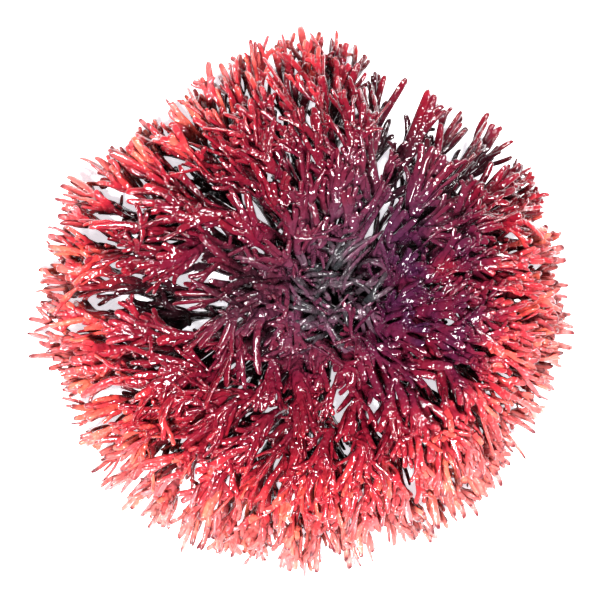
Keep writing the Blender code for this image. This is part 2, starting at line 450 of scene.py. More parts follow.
def split_up(shoot, target, across, half_spread, again, chance):
    """Grow two fingers, or stalks of fingers, from a shoot's end to both sides of a target."""
    way = target - shoot.end
    aside = way.cross(across).normalized()
    for side in (1, -1):
        tip = target + across * side * half_spread * chance.uniform(0.5, 1.4)
        tip += aside * half_spread * chance.uniform(-0.7, 0.7)
        tip -= way * chance.uniform(*FINGER_LACK)
        tip.z = max(tip.z, LOWEST_MIDDLE)
        if chance.random() < again:
            stalk = Shoot(shoot.end.lerp(tip, chance.uniform(*STALK_SHARES)), shoot.order + 1, shoot)
            split_up(stalk, tip, across, half_spread * SPREAD_KEPT, 0, chance)
        else:
            Shoot(tip, shoot.order + 1, shoot)


def split_blades(root, chance):
    """Split the blades of a frond at their ends."""
    for blade in [shoot for shoot in root.family() if not shoot.children]:
        blade.order = BLADE_ORDER
        if chance.random() > SPLIT_AT_ALL:
            continue
        target = blade.end
        across = levelled(blade.way(), blade.parent.spread())
        across = turned_across(blade.way(), across, chance.uniform(-ROLL, ROLL))
        blade.end = blade.parent.end.lerp(target, chance.uniform(*BLADE_SHARES))
        split_up(blade, target, across, FINGER_HALF_SPREAD, SPLIT_AGAIN, chance)


for name, root in roots.items():
    split_blades(root, random.Random(name + " fingers"))
fingers = sum(not shoot.children for root in roots.values() for shoot in root.family())
print(fingers, "fingers on the blades")


# %% [markdown]
# ## Side shoots
#
# Real stems aren't bare between two forks. Side shoots stand on them to the left and the right,
# lean forward and split at their ends like the blades, and they fill the middle of the clump, so
# that hardly any ground shows through. None of them grows past the blades: they all end inside
# the cushion.

# %% Set side shoots on the stems
SIDE_SHOOT_PLACES = (0.16, 0.38, 0.60, 0.82)
SIDE_SHOOT_CHANCES = (0.5, 0.98, 0.92, 0.76, 0.30)
SIDE_SHOOT_LENGTHS = (0.0035, 0.0090)
SIDE_SHOOT_SPLITS = 0.75
SIDE_SHOOT_LEAN = (0.8, 2.4)
LEAN_PER_FORK = 0.30
SIDE_SHOOT_STALK = (0.35, 0.75)
OPEN_SIDE = math.radians(158)
OPEN_HALF_WIDTH = math.radians(40)
OPEN_RADIUS = 0.0160
OPEN_HALF_RING = 0.0100
OPEN_SIDE_LACK = 0.30
THIN_SIDE_RARITY = 0.60
RIM_MARGIN = 0.97
SKIN_SHARE = 0.88


def stem_size(order):
    """Width and thickness of a stem between two forks."""
    if order in FINGER_WIDTHS:
        return FINGER_WIDTHS[order], FINGER_WIDTHS[order] * FINGER_THICKNESS
    if order == BLADE_ORDER:
        return BLADE_WIDTH, BLADE_THICKNESS
    width = STEM_WIDTH * SKIN_SHARE * WIDTH_KEPT ** max(order, 0)
    return width, width * FLATNESS[max(order, 0)]


def inside_cushion(point):
    """The point, or the nearest one inside the cushion if it lies outside."""
    azimuth = math.atan2(point.y, point.x)
    out = min(point.xy.length, reach(azimuth) * RIM_MARGIN)
    climb = math.acos((max(out, CREST_RADIUS) - CREST_RADIUS) / (reach(azimuth) - CREST_RADIUS))
    top = CREST_HEIGHT * math.sin(DIP * climb)
    lowest = FLOOR_CLEARANCE + BLADE_WIDTH / 2
    height = min(max(point.z, lowest), max(top, lowest))
    return Vector((out * math.cos(azimuth), out * math.sin(azimuth), height))


def fullness(point):
    """How likely side shoots are at a point, from 1 down to few on the open and the thin side."""
    azimuth = math.atan2(point.y, point.x)
    open_lack = OPEN_SIDE_LACK * nearness(azimuth, OPEN_SIDE, OPEN_HALF_WIDTH)
    open_lack *= nearness(point.xy.length, OPEN_RADIUS, OPEN_HALF_RING)
    return (1 - open_lack) * (1 - THIN_SIDE_RARITY * thinness(azimuth))


def side_shoot(stem, share, side, chance):
    """A knot on the side of a stem, with a shoot on it."""
    way = stem.way()
    out = turned_across(way, stem.spread() * side, chance.uniform(-ROLL, ROLL))
    foot = stem.parent.end.lerp(stem.end, share)
    knot = Shoot(foot + out * stem_size(stem.order)[0] / 2, stem.order)
    knot.across = turned_across(out, way, chance.uniform(-ROLL, ROLL))
    knot.out = out
    knot.stem = stem
    knot.share = share
    forward = chance.uniform(*SIDE_SHOOT_LEAN) * (1 + LEAN_PER_FORK * stem.order)
    lean = (out + way * forward).normalized()
    tip = inside_cushion(knot.end + lean * chance.uniform(*SIDE_SHOOT_LENGTHS))
    order = min(FINGER_WIDTHS) + 1
    if chance.random() < SIDE_SHOOT_SPLITS:
        stalk = Shoot(knot.end.lerp(tip, chance.uniform(*SIDE_SHOOT_STALK)), order, knot)
        across = turned_across(lean, knot.across, 0)
        split_up(stalk, tip, across, FINGER_HALF_SPREAD, SPLIT_AGAIN, chance)
    else:
        Shoot(tip, order, knot)
    return knot


def sprout(root, chance):
    """Set side shoots on all stems of a frond."""
    root.knots = []
    for stem in root.family():
        if not stem.parent or stem.order >= len(SIDE_SHOOT_CHANCES) or not stem.children:
            continue
        side = chance.choice((1, -1))
        for share in SIDE_SHOOT_PLACES:
            if chance.random() < SIDE_SHOOT_CHANCES[stem.order] * fullness(stem.end):
                root.knots.append(side_shoot(stem, share, side, chance))
            side = -side


for name, root in roots.items():
    sprout(root, random.Random(name + " side shoots"))
print(sum(len(root.knots) for root in roots.values()), "side shoots")


# %% [markdown]
# ## From lines to flesh
#
# A tube on a curve would give round stems that only overlap where they fork. Real forks are webbed:
# the stem widens, flattens and parts. So each frond is one skin, made the way a hand would do it in
# edit mode. A square is extruded along the stem, section by section. Where the stem forks, its end
# is wide, its two long edges are cut in the middle, and each half is extruded on its own. One
# subdivision then rounds the squares. First we need to know the sections.

# %% A section through a stem
class Section:
    """A cut across a stem: its middle, its two half axes, and how grown the tissue is there."""

    def __init__(self, middle, wide, flat, growth, tip=0.0):
        self.middle = middle
        self.wide = wide
        self.flat = flat
        self.growth = growth
        self.tip = tip

    def corners(self):
        """The four corners, counterclockwise as seen from the tip side."""
        wide, flat = self.wide, self.flat
        return [self.middle + side for side in (wide + flat, flat - wide, -wide - flat, wide - flat)]


def section_of(face, growth):
    """The section that a square face of the skin is."""
    first, second, third, fourth = (vert.co for vert in face.verts)
    wide = (first - second - third + fourth) / 4
    flat = (first + second - third - fourth) / 4
    return Section(face.calc_center_median(), wide, flat, growth)


def nearest_turn(section, wide):
    """The section's half axes, turned by quarters so that the first lies closest to a direction."""
    turns = [
        (section.wide, section.flat),
        (section.flat, -section.wide),
        (-section.wide, -section.flat),
        (-section.flat, section.wide),
    ]
    return max(turns, key=lambda turn: turn[0].normalized().dot(wide.normalized()))


# %% The section at a shoot's end
BLADE_WIDENING = 1.30
TIP_SHARE = 0.62
TIP_ROUNDNESS = 1.3


def end_section(shoot):
    """The section at a shoot's end: wide where it forks, small where it is a fingertip."""
    width, thickness = stem_size(shoot.order)
    if not shoot.children:
        width, thickness = width * TIP_SHARE, thickness * TIP_SHARE * TIP_ROUNDNESS
    elif shoot.order >= BLADE_ORDER:
        width *= BLADE_WIDENING
    else:
        width *= FORK_WIDENING
    wide = shoot.spread()
    flat = shoot.heading().cross(wide)
    tip = 0.0 if shoot.children else 1.0
    return Section(shoot.end, wide * width / 2, flat * thickness / 2, shoot.growth, tip)


# %% The sections along a shoot
STEM_STEPS = (0.20, 0.48, 0.78, 1.0)
STALK_STEPS = (0.28, 0.72, 1.0)
FINGER_STEPS = (0.28, 0.84, 1.0)
BOW = 0.00080
BOW_SHARE = 0.13
KNOBBLINESS = 0.16
LOOK_AHEAD = 0.05


def curve_point(start, end, start_way, end_way, share):
    """A point on the curve that leaves one point one way and reaches another the other way."""
    length = (end - start).length
    square, cube = share * share, share**3
    return (
        start * (2 * cube - 3 * square + 1)
        + start_way * length * (cube - 2 * square + share)
        + end * (3 * square - 2 * cube)
        + end_way * length * (cube - square)
    )


def steps_of(shoot):
    """The shares along a shoot at which it has sections."""
    if not shoot.children:
        return FINGER_STEPS
    return STALK_STEPS if shoot.order > BLADE_ORDER else STEM_STEPS


def own_share(shoot, step):
    """The parts of a shoot's own size, its start's and its end's in the section at a step."""
    if step < 0.3:
        return 0.75, 0.25, 0.0
    if shoot.children:
        return (0.72, 0.0, 0.28) if step > 0.7 else (1.0, 0.0, 0.0)
    return (0.88, 0.0, 0.0) if step > 0.7 else (0.96, 0.0, 0.0)


def along(shoot, start, chance):
    """The sections from the section at a shoot's start to the one at its end."""
    end = end_section(shoot)
    start_way = shoot.parent.heading()
    end_way = shoot.heading()
    wide, flat = nearest_turn(end, start.wide)
    own = stem_size(shoot.order)
    if abs(wide.normalized().dot(end.wide.normalized())) < 0.5:
        own = own[::-1]
    length = (shoot.end - start.middle).length
    bow = Vector([chance.uniform(-1, 1) for _ in range(3)]) * min(BOW, length * BOW_SHARE)
    sections = []
    for step in steps_of(shoot):
        growth = start.growth + (shoot.growth - start.growth) * step
        tip = 0.0 if shoot.children else step
        if step == 1.0:
            sections.append(Section(end.middle, wide, flat, growth, tip))
            continue
        middle, behind, ahead = (
            curve_point(start.middle, shoot.end, start_way, end_way, share)
            for share in (step, step - LOOK_AHEAD, step + LOOK_AHEAD)
        )
        way = (ahead - behind).normalized()
        middle += bow * math.sin(math.pi * step)
        middle.z = max(middle.z, LOWEST_MIDDLE)
        knob = 1 + chance.uniform(-KNOBBLINESS, KNOBBLINESS)
        own_part, start_part, end_part = own_share(shoot, step)
        axes = []
        for first, last, size in ((start.wide, wide, own[0]), (start.flat, flat, own[1])):
            axis = first.normalized().lerp(last.normalized(), step)
            axis -= way * axis.dot(way)
            half = size / 2 * own_part + first.length * start_part + last.length * end_part
            axes.append(axis.normalized() * half * knob)
        sections.append(Section(middle, *axes, growth, tip))
    return sections


# %% How grown the tissue is: 0 where a frond starts, 1 at its fingertips
SIDE_SHOOT_GROWTH = 0.30
TINT_KEPT = 0.55


def measure_growth(root, chance):
    """Note on every shoot how far along its frond it ends, and a tint of its own."""
    root.growth = 0.0
    root.run = 0.0
    root.tint = chance.random()
    for shoot in root.family():
        if shoot.parent:
            shoot.run = shoot.parent.run + (shoot.end - shoot.parent.end).length
            shoot.tint = TINT_KEPT * shoot.parent.tint + (1 - TINT_KEPT) * chance.random()
    longest = max(shoot.run for shoot in root.family())
    for shoot in root.family():
        shoot.growth = shoot.run / longest if shoot.children else max(shoot.run / longest, 0.95)
    for knot in root.knots:
        before = knot.stem.parent.growth
        knot.growth = before + (knot.stem.growth - before) * knot.share
        knot.tint = knot.stem.tint
        for shoot in knot.family():
            if shoot.parent:
                left = 1 - shoot.parent.growth
                shoot.growth = shoot.parent.growth + left * SIDE_SHOOT_GROWTH
                shoot.tint = TINT_KEPT * shoot.parent.tint + (1 - TINT_KEPT) * chance.random()


# %% [markdown]
# ## Extruding a frond in edit mode
#
# Every stem of a frond grows by one section at a time, all together: their ends are selected and
# extruded by one operator, and then each new end is set on its next section. A face attribute
# remembers which end belongs to which shoot, because an extruded face keeps its attributes.

# %% Extrude all growing ends
TRAITS = ("growth", "tint", "tip")


def extrude_ends(data):
    """Extrude every marked face on its own, and leave only the new ends marked."""
    mesh = bmesh.from_edit_mesh(data)
    marks = mesh.faces.layers.int["shoot"]
    for face in mesh.faces:
        face.select_set(bool(face[marks]))
    bmesh.update_edit_mesh(data)
    bpy.ops.mesh.extrude_faces_indiv()
    mesh = bmesh.from_edit_mesh(data)
    marks = mesh.faces.layers.int["shoot"]
    for face in mesh.faces:
        if not face.select:
            face[marks] = 0
    return mesh, marks


def put_corners(mesh, face, section, tint):
    """Move the face's corners to the section's, turned so that they travel least."""
    corners = section.corners()
    centre = face.calc_center_median()

    def travel(turn):
        return sum(
            ((vert.co - centre) - (corners[(i + turn) % 4] - section.middle)).length_squared
            for i, vert in enumerate(face.verts)
        )

    turn = min(range(4), key=travel)
    layers = [mesh.verts.layers.float[trait] for trait in TRAITS]
    for i, vert in enumerate(face.verts):
        vert.co = corners[(i + turn) % 4]
        for layer, value in zip(layers, (section.growth, tint, section.tip)):
            vert[layer] = value


# %% Cut the ends that fork, and give each half to a branch
def cut_ends(data, forking, shoots):
    """Cut the ends of forking shoots in two, across their longer side."""
    mesh = bmesh.from_edit_mesh(data)
    marks = mesh.faces.layers.int["shoot"]
    bpy.ops.mesh.select_all(action="DESELECT")
    for face in mesh.faces:
        if face[marks] in forking:
            across = shoots[face[marks]].spread()
            lined_up = sorted(
                face.edges,
                key=lambda edge: -abs((edge.verts[0].co - edge.verts[1].co).normalized().dot(across)),
            )
            for edge in lined_up[:2]:
                edge.select_set(True)
    bmesh.update_edit_mesh(data)
    bpy.ops.mesh.subdivide(number_cuts=1)


def share_ends(data, forking, shoots, numbers, waiting, chance):
    """Mark the two halves of every cut end for the two branches that go on from it."""
    mesh = bmesh.from_edit_mesh(data)
    marks = mesh.faces.layers.int["shoot"]
    parts = {}
    for face in mesh.faces:
        if face[marks] in forking:
            parts.setdefault(face[marks], []).append(face)
    for number, faces in parts.items():
        across = shoots[number].spread()
        faces.sort(key=lambda face: -face.calc_center_median().dot(across))
        for face, child in zip(faces, shoots[number].children):
            face[marks] = numbers[child]
            waiting[numbers[child]] = along(child, section_of(face, forking[number].growth), chance)
    bmesh.update_edit_mesh(data)


# %% Let marked faces grow
def grow_ends(data, shoots, waiting, chance):
    """Extrude the marked faces along their shoots, fork by fork, until all reach their tips.

    shoots gives the shoot of each number that a face can be marked with, and waiting the sections
    that are still to come for the numbers that are marked.
    """
    numbers = {shoot: number for number, shoot in shoots.items()}
    while waiting:
        mesh, marks = extrude_ends(data)
        forking = {}
        for face in mesh.faces:
            number = face[marks]
            if not number:
                continue
            section = waiting[number].pop(0)
            put_corners(mesh, face, section, shoots[number].tint)
            if waiting[number]:
                continue
            del waiting[number]
            if shoots[number].children:
                forking[number] = section
            else:
                face[marks] = 0
        bmesh.update_edit_mesh(data)
        if forking:
            cut_ends(data, forking, shoots)
            share_ends(data, forking, shoots, numbers, waiting, chance)


FACING = 0.55


def bud(data, knots, shoots, chance):
    """Let side shoots grow from the faces of the skin that lie nearest to their knots."""
    mesh = bmesh.from_edit_mesh(data)
    marks = mesh.faces.layers.int["shoot"]
    numbers = {shoot: number for number, shoot in shoots.items()}
    faces = [face for face in mesh.faces if len(face.verts) == 4]
    middles = np.array([face.calc_center_median() for face in faces])
    normals = np.array([face.normal for face in faces])
    waiting = {}
    for knot in knots:
        far = np.linalg.norm(middles - np.array(knot.end), axis=1)
        turned_away = normals @ np.array(knot.out) < FACING
        face = faces[int(np.argmin(far + turned_away))]
        if face[marks]:
            continue
        shoot = knot.children[0]
        face[marks] = numbers[shoot]
        waiting[numbers[shoot]] = along(shoot, section_of(face, knot.growth), chance)
    bmesh.update_edit_mesh(data)
    grow_ends(data, shoots, waiting, chance)


# %% Start a skin, and finish it
ROOT_DEPTH = 0.0022
ROOT_WIDENING = 1.10


def start_skin(name, size):
    """A single marked square in edit mode, with room for the marks and traits of a skin."""
    bpy.ops.object.select_all(action="DESELECT")
    bpy.ops.mesh.primitive_plane_add(size=size)
    piece = bpy.context.object
    piece.name = name
    bpy.ops.object.mode_set(mode="EDIT")
    bpy.ops.mesh.select_mode(type="FACE")
    mesh = bmesh.from_edit_mesh(piece.data)
    mesh.faces.layers.int.new("shoot")
    for trait in TRAITS:
        mesh.verts.layers.float.new(trait)
    bmesh.update_edit_mesh(piece.data)
    return piece


def close_skin(data):
    """Fill the hole that the first extrusion left at the root, and turn all faces outwards."""
    mesh = bmesh.from_edit_mesh(data)
    bpy.ops.mesh.select_all(action="DESELECT")
    bpy.ops.mesh.select_mode(type="EDGE")
    for edge in mesh.edges:
        edge.select_set(edge.is_boundary)
    bmesh.update_edit_mesh(data)
    bpy.ops.mesh.edge_face_add()
    bpy.ops.mesh.select_all(action="SELECT")
    bpy.ops.mesh.normals_make_consistent(inside=False)


def round_off(piece):
    """Round a piece with one subdivision and shade it smooth."""
    bpy.ops.object.select_all(action="DESELECT")
    piece.select_set(True)
    bpy.context.view_layer.objects.active = piece
    rounding = piece.modifiers.new("rounding", "SUBSURF")
    rounding.levels = 1
    rounding.render_levels = 1
    bpy.ops.object.modifier_apply(modifier=rounding.name)
    bpy.ops.object.shade_smooth()


# %% Model a frond
def grow_skin(name, root):
    """Model a frond: a square at its root, extruded along all its shoots."""
    chance = random.Random(name + " skin")
    measure_growth(root, chance)
    families = [root, *root.knots]
    shoots = [shoot for first in families for shoot in first.family() if shoot.parent]
    shoots = dict(enumerate(shoots, start=1))
    numbers = {shoot: number for number, shoot in shoots.items()}
    piece = start_skin(name + "_skin", STEM_WIDTH)
    mesh = bmesh.from_edit_mesh(piece.data)
    trunk = root.children[0]
    way = trunk.way()
    wide = Vector((0, 0, 1)).cross(way).normalized() * STEM_WIDTH / 2 * ROOT_WIDENING
    base = Section(root.end - way * ROOT_DEPTH, wide, way.cross(wide), 0.0)
    mesh.faces.ensure_lookup_table()
    square = mesh.faces[0]
    square[mesh.faces.layers.int["shoot"]] = numbers[trunk]
    for vert, corner in zip(square.verts, base.corners()):
        vert.co = corner
    bmesh.update_edit_mesh(piece.data)
    grow_ends(piece.data, shoots, {numbers[trunk]: along(trunk, base, chance)}, chance)
    bud(piece.data, root.knots, shoots, chance)
    close_skin(piece.data)
    bpy.ops.object.mode_set(mode="OBJECT")
    round_off(piece)
    return piece


fronds = {name: grow_skin(name, root) for name, root in roots.items()}
faces = [len(piece.data.polygons) for piece in fronds.values()]
print("fronds have", min(faces), "to", max(faces), "faces,", sum(faces), "in all")


# %% [markdown]
# ## The holdfast
#
# The holdfast is a small hard disc that gripped the rock. Its top is hidden under a tangle of old
# shoots, slate grey and dusty purple. Most are short and fill the hollow between the innermost
# fronds, and a few long ones reach out over them. The disc starts as a ball that is cut flat, its
# faces are pushed in and out by a slow noise, and the shoots are extruded from its top like the
# side shoots of a frond.

# %% Model the disc
HOLDFAST_COLUMNS = 28
HOLDFAST_ROWS = 18
LUMP_HEIGHT = 0.0007
LUMP_SIZE = 0.0026


def make_disc():
    """A lumpy ball cut flat underneath, in edit mode."""
    bpy.ops.object.select_all(action="DESELECT")
    bpy.ops.mesh.primitive_uv_sphere_add(
        segments=HOLDFAST_COLUMNS, ring_count=HOLDFAST_ROWS, radius=HOLDFAST_RADIUS
    )
    piece = bpy.context.object
    piece.name = "holdfast_skin"
    bpy.ops.object.mode_set(mode="EDIT")
    bpy.ops.mesh.select_all(action="SELECT")
    bpy.ops.mesh.bisect(plane_co=(0, 0, 0), plane_no=(0, 0, 1), use_fill=True, clear_inner=True)
    mesh = bmesh.from_edit_mesh(piece.data)
    mesh.faces.layers.int.new("shoot")
    for trait in TRAITS:
        mesh.verts.layers.float.new(trait)
    for vert in mesh.verts:
        if vert.co.z > LUMP_HEIGHT:
            vert.co += vert.normal * LUMP_HEIGHT * noise.noise(vert.co / LUMP_SIZE)
    bmesh.update_edit_mesh(piece.data)
    return piece


# %% Set the old shoots on it
OLD_SHOOTS = 96
LONG_ONE_IN = 3
GOLDEN_ANGLE = math.radians(137.5)
OLD_SHOOT_LIFTS = (math.radians(46), math.radians(89))
OLD_KNEE_OUT = (0.30, 0.60)
OLD_KNEE_HEIGHTS = (0.0135, 0.0195)
OLD_SHOOT_REACH = (0.0015, 0.0075)
LONG_SHOOT_REACH = (0.0080, 0.0125)
OLD_SHOOT_ASIDE = 0.0034
OLD_SHOOT_ORDER = 7
OLD_SHOOT_DROP = (0.0020, 0.0055)
OLD_SHOOT_GROWTH = 0.12


def old_shoot(number, chance):
    """A knot on the top of the holdfast, with a forked shoot that leans outwards."""
    azimuth = number * GOLDEN_ANGLE + chance.uniform(-0.3, 0.3)
    low, high = OLD_SHOOT_LIFTS
    lift = high - (high - low) * math.sqrt((number + 0.5) / OLD_SHOOTS)
    out = Vector((math.cos(azimuth), math.sin(azimuth), 0))
    up = Vector((0, 0, 1))
    normal = out * math.cos(lift) + up * math.sin(lift)
    knot = Shoot(normal * HOLDFAST_RADIUS, BLADE_ORDER - 1)
    knot.out = normal
    knot.across = up.cross(out)
    knot.growth = 0.0
    aside = knot.across * chance.uniform(-OLD_SHOOT_ASIDE, OLD_SHOOT_ASIDE)
    long_one = number % LONG_ONE_IN == 0
    reached = chance.uniform(*(LONG_SHOOT_REACH if long_one else OLD_SHOOT_REACH))
    height = OLD_KNEE_HEIGHTS[1] if long_one else chance.uniform(*OLD_KNEE_HEIGHTS)
    knee = out * reached * chance.uniform(*OLD_KNEE_OUT) + up * height - aside / 2
    target = out * reached + up * (height - chance.uniform(*OLD_SHOOT_DROP)) + aside
    stalk = Shoot(knee, OLD_SHOOT_ORDER, knot)
    across = turned_across((target - stalk.end).normalized(), knot.across, 0)
    split_up(stalk, target, across, FINGER_HALF_SPREAD, SPLIT_AGAIN, chance)
    for shoot in knot.family():
        shoot.tint = chance.random()
        if shoot.parent:
            shoot.growth = shoot.parent.growth + OLD_SHOOT_GROWTH
    return knot


def make_holdfast():
    """The disc with its tangle of old shoots."""
    chance = random.Random("holdfast")
    piece = make_disc()
    knots = [old_shoot(number, chance) for number in range(OLD_SHOOTS)]
    shoots = [shoot for knot in knots for shoot in knot.family() if shoot.parent]
    bud(piece.data, knots, dict(enumerate(shoots, start=1)), chance)
    bpy.ops.mesh.select_all(action="SELECT")
    bpy.ops.mesh.normals_make_consistent(inside=False)
    bpy.ops.object.mode_set(mode="OBJECT")
    round_off(piece)
    return piece


holdfast = make_holdfast()
print("the holdfast has", len(holdfast.data.polygons), "faces")


# %% [markdown]
# ## How young the tissue looks
#
# From the crown to the rim the clump goes from slate over purple and crimson to coral and pale
# pink. What counts is how far the tissue is from the rim of the cushion, where it grew last and in
# full light. The clump is set a little older towards its top, and its upper right side is painted
# darker as painted shade. The lower parts of a frond are darker than its tips. All of this is
# noted on the corners of each mesh as its youth, painted shade included, which the material then
# reads. Beside it are noted how violet the tissue is, most at the right of the crown, and how deep
# each corner lies below the top of the cushion, which the material turns into painted shade on low
# stems, with more of it in a patch at the left.

# %% Note the youth on every corner
YOUNG_WIDTH = 0.045
YOUNG_SIDE = math.radians(265)
OLD_SIDE_LACK = 0.0038
# The upper right side is painted darker, as painted shade: there the tissue counts as this much
# farther from the rim.
DARK_SIDE = math.radians(55)
DARK_HALF_WIDTH = math.radians(40)
DARK_SIDE_LACK = 0.0140
VIOLET_SIDE = math.radians(-2)
VIOLET_HALF_WIDTH = math.radians(80)
VIOLET_RADIUS = 0.0130
VIOLET_HALF_RING = 0.0125
# A patch at the left where the painted shade on low stems is stronger, as if the tissue lay deeper.
SHADED_SIDE = math.radians(177)
SHADED_HALF_WIDTH = math.radians(34)
SHADED_RADIUS = 0.0135
SHADED_HALF_RING = 0.0090
SHADED_DEPTH = 0.45
GROWTH_PART = 0.16


compass = np.linspace(-math.pi, math.pi, 181)
reaches = [reach(azimuth) for azimuth in compass]


def bump_in(values, middle, half_width):
    """1 where the values are the middle one, and 0 from half a width away."""
    return np.clip(1 - ((values - middle) / half_width) ** 2, 0, 1)


def patch_in(azimuth, out, side, half_width, radius, half_ring):
    """1 in the middle of a patch of the clump as seen from above, and 0 outside it."""
    aside = np.abs(np.angle(np.exp(1j * (azimuth - side))))
    return bump_in(aside, 0, half_width) * bump_in(out, radius, half_ring)


def note_youth_and_shade(piece):
    """Write the youth of the tissue on every corner of a piece, 0 at the crown and 1 at the rim, with
    the painted shade of the upper right side in it, and how violet and how deep each corner is.
    """
    data = piece.data
    count = len(data.vertices)
    places = np.empty(count * 3)
    data.vertices.foreach_get("co", places)
    places = places.reshape(-1, 3)
    growth = np.empty(count)
    data.attributes["growth"].data.foreach_get("value", growth)
    out = np.hypot(places[:, 0], places[:, 1])
    azimuth = np.arctan2(places[:, 1], places[:, 0])
    rim = np.interp(azimuth, compass, reaches)
    from_rim = rim - out
    from_rim += OLD_SIDE_LACK * (1 - np.cos(azimuth - YOUNG_SIDE))
    # Painted shade: the upper right side counts as farther from the rim, so it comes out darker.
    from_rim += DARK_SIDE_LACK * bump_in(azimuth, DARK_SIDE, DARK_HALF_WIDTH)
    youth = 1 - from_rim / YOUNG_WIDTH + GROWTH_PART * (growth - 1)
    violet = patch_in(
        azimuth, out, VIOLET_SIDE, VIOLET_HALF_WIDTH, VIOLET_RADIUS, VIOLET_HALF_RING
    )
    # How deep a corner lies below the top of the cushion, which the material turns into painted shade
    # on low stems. In the patch at the left it counts as deeper, for more painted shade.
    climb = np.arccos(np.clip((out - CREST_RADIUS) / (rim - CREST_RADIUS), 0, 1))
    depth = np.sin(DIP * climb) - places[:, 2] / CREST_HEIGHT
    depth += SHADED_DEPTH * patch_in(
        azimuth, out, SHADED_SIDE, SHADED_HALF_WIDTH, SHADED_RADIUS, SHADED_HALF_RING
    )
    for trait, values in (("youth", youth), ("violet", violet), ("depth", depth)):
        data.attributes.new(trait, "FLOAT", "POINT").data.foreach_set("value", values)
    return youth


youths_and_shades = np.concatenate([note_youth_and_shade(piece) for piece in (*fronds.values(), holdfast)])
print(f"youth from {youths_and_shades.min():.2f} to {youths_and_shades.max():.2f}")


# %% [markdown]
# ## The finish of the fronds
#
# Wet seaweed is a gelatinous skin with a film of water on it: sharp small highlights, and light
# that comes through where it is thin. A Principled shader with a coat of water's refraction gives
# the wet skin, and some Translucent shader mixed in, more at the young tips, gives the glow.

# %% Shader maths
class Socket:
    """A shader socket that can be used in arithmetic, which adds the Math nodes for it."""

    def __init__(self, tree, socket=None):
        self.tree = tree
        self.socket = socket

    def node(self, kind, settings=None, inputs=None, output=0):
        """Add a node: set its settings, link or set its inputs, and give one of its outputs."""
        made = self.tree.nodes.new(kind)
        for setting, value in (settings or {}).items():
            if setting == "stops":
                set_stops(made.color_ramp, value)
            else:
                setattr(made, setting, value)
        for place, value in (inputs or {}).items():
            if isinstance(value, Socket):
                self.tree.links.new(value.socket, made.inputs[place])
            else:
                made.inputs[place].default_value = value
        return None if output is None else Socket(self.tree, made.outputs[output])

    def maths(self, operation, first, second):
        return self.node("ShaderNodeMath", {"operation": operation}, {0: first, 1: second})

    def __add__(self, other):
        return self.maths("ADD", self, other)

    def __sub__(self, other):
        return self.maths("SUBTRACT", self, other)

    def __rsub__(self, other):
        return self.maths("SUBTRACT", other, self)

    def __mul__(self, other):
        return self.maths("MULTIPLY", self, other)

    __radd__ = __add__
    __rmul__ = __mul__


def set_stops(ramp, stops):
    """Give a colour ramp these stops, each a place and a colour."""
    while len(ramp.elements) > 1:
        ramp.elements.remove(ramp.elements[-1])
    for number, (place, colour) in enumerate(stops):
        stop = ramp.elements[0] if number == 0 else ramp.elements.new(place)
        stop.position = place
        stop.color = (*colour, 1)


def new_material(name):
    """An empty node material, and a socket in its tree to build from."""
    material = bpy.data.materials.new(name)
    material.use_nodes = True
    material.node_tree.nodes.clear()
    return material, Socket(material.node_tree)


# %% Colours from the crown to the rim
YOUTHS = (
    (0.00, (0.050, 0.011, 0.024)),
    (0.16, (0.053, 0.006, 0.014)),
    (0.29, (0.057, 0.002, 0.008)),
    (0.40, (0.065, 0.002, 0.006)),
    (0.51, (0.085, 0.002, 0.006)),
    (0.62, (0.155, 0.005, 0.010)),
    (0.71, (0.270, 0.013, 0.018)),
    (0.77, (0.350, 0.036, 0.038)),
    (0.82, (0.410, 0.070, 0.065)),
    (0.88, (0.440, 0.100, 0.092)),
    (0.93, (0.540, 0.165, 0.150)),
    (1.00, (0.620, 0.265, 0.240)),
)
VIOLET = (0.016, 0.003, 0.014)
# The near black of the painted shade on low stems.
PAINTED_SHADE = (0.010, 0.003, 0.005)
ORANGE = (0.800, 0.110, 0.045)
PINK = (0.780, 0.280, 0.290)
DARK_POINT = (0.070, 0.012, 0.020)
RED_GLOW = (0.400, 0.035, 0.035)
PINK_GLOW = (0.620, 0.200, 0.180)


def mixed(new, share, first, second):
    """A mix of two colours."""
    inputs = {"Factor": share, 6: first, 7: second}
    settings = {"data_type": "RGBA", "clamp_factor": True}
    return new.node("ShaderNodeMix", settings, inputs, output=2)


def steps_up(new, value, low, high):
    """0 below low, 1 above high, and a smooth slope in between."""
    settings = {"interpolation_type": "SMOOTHSTEP"}
    return new.node("ShaderNodeMapRange", settings, {"Value": value, 1: low, 2: high})


# %% The wet frond
WATER = 1.33
WET = 1.38


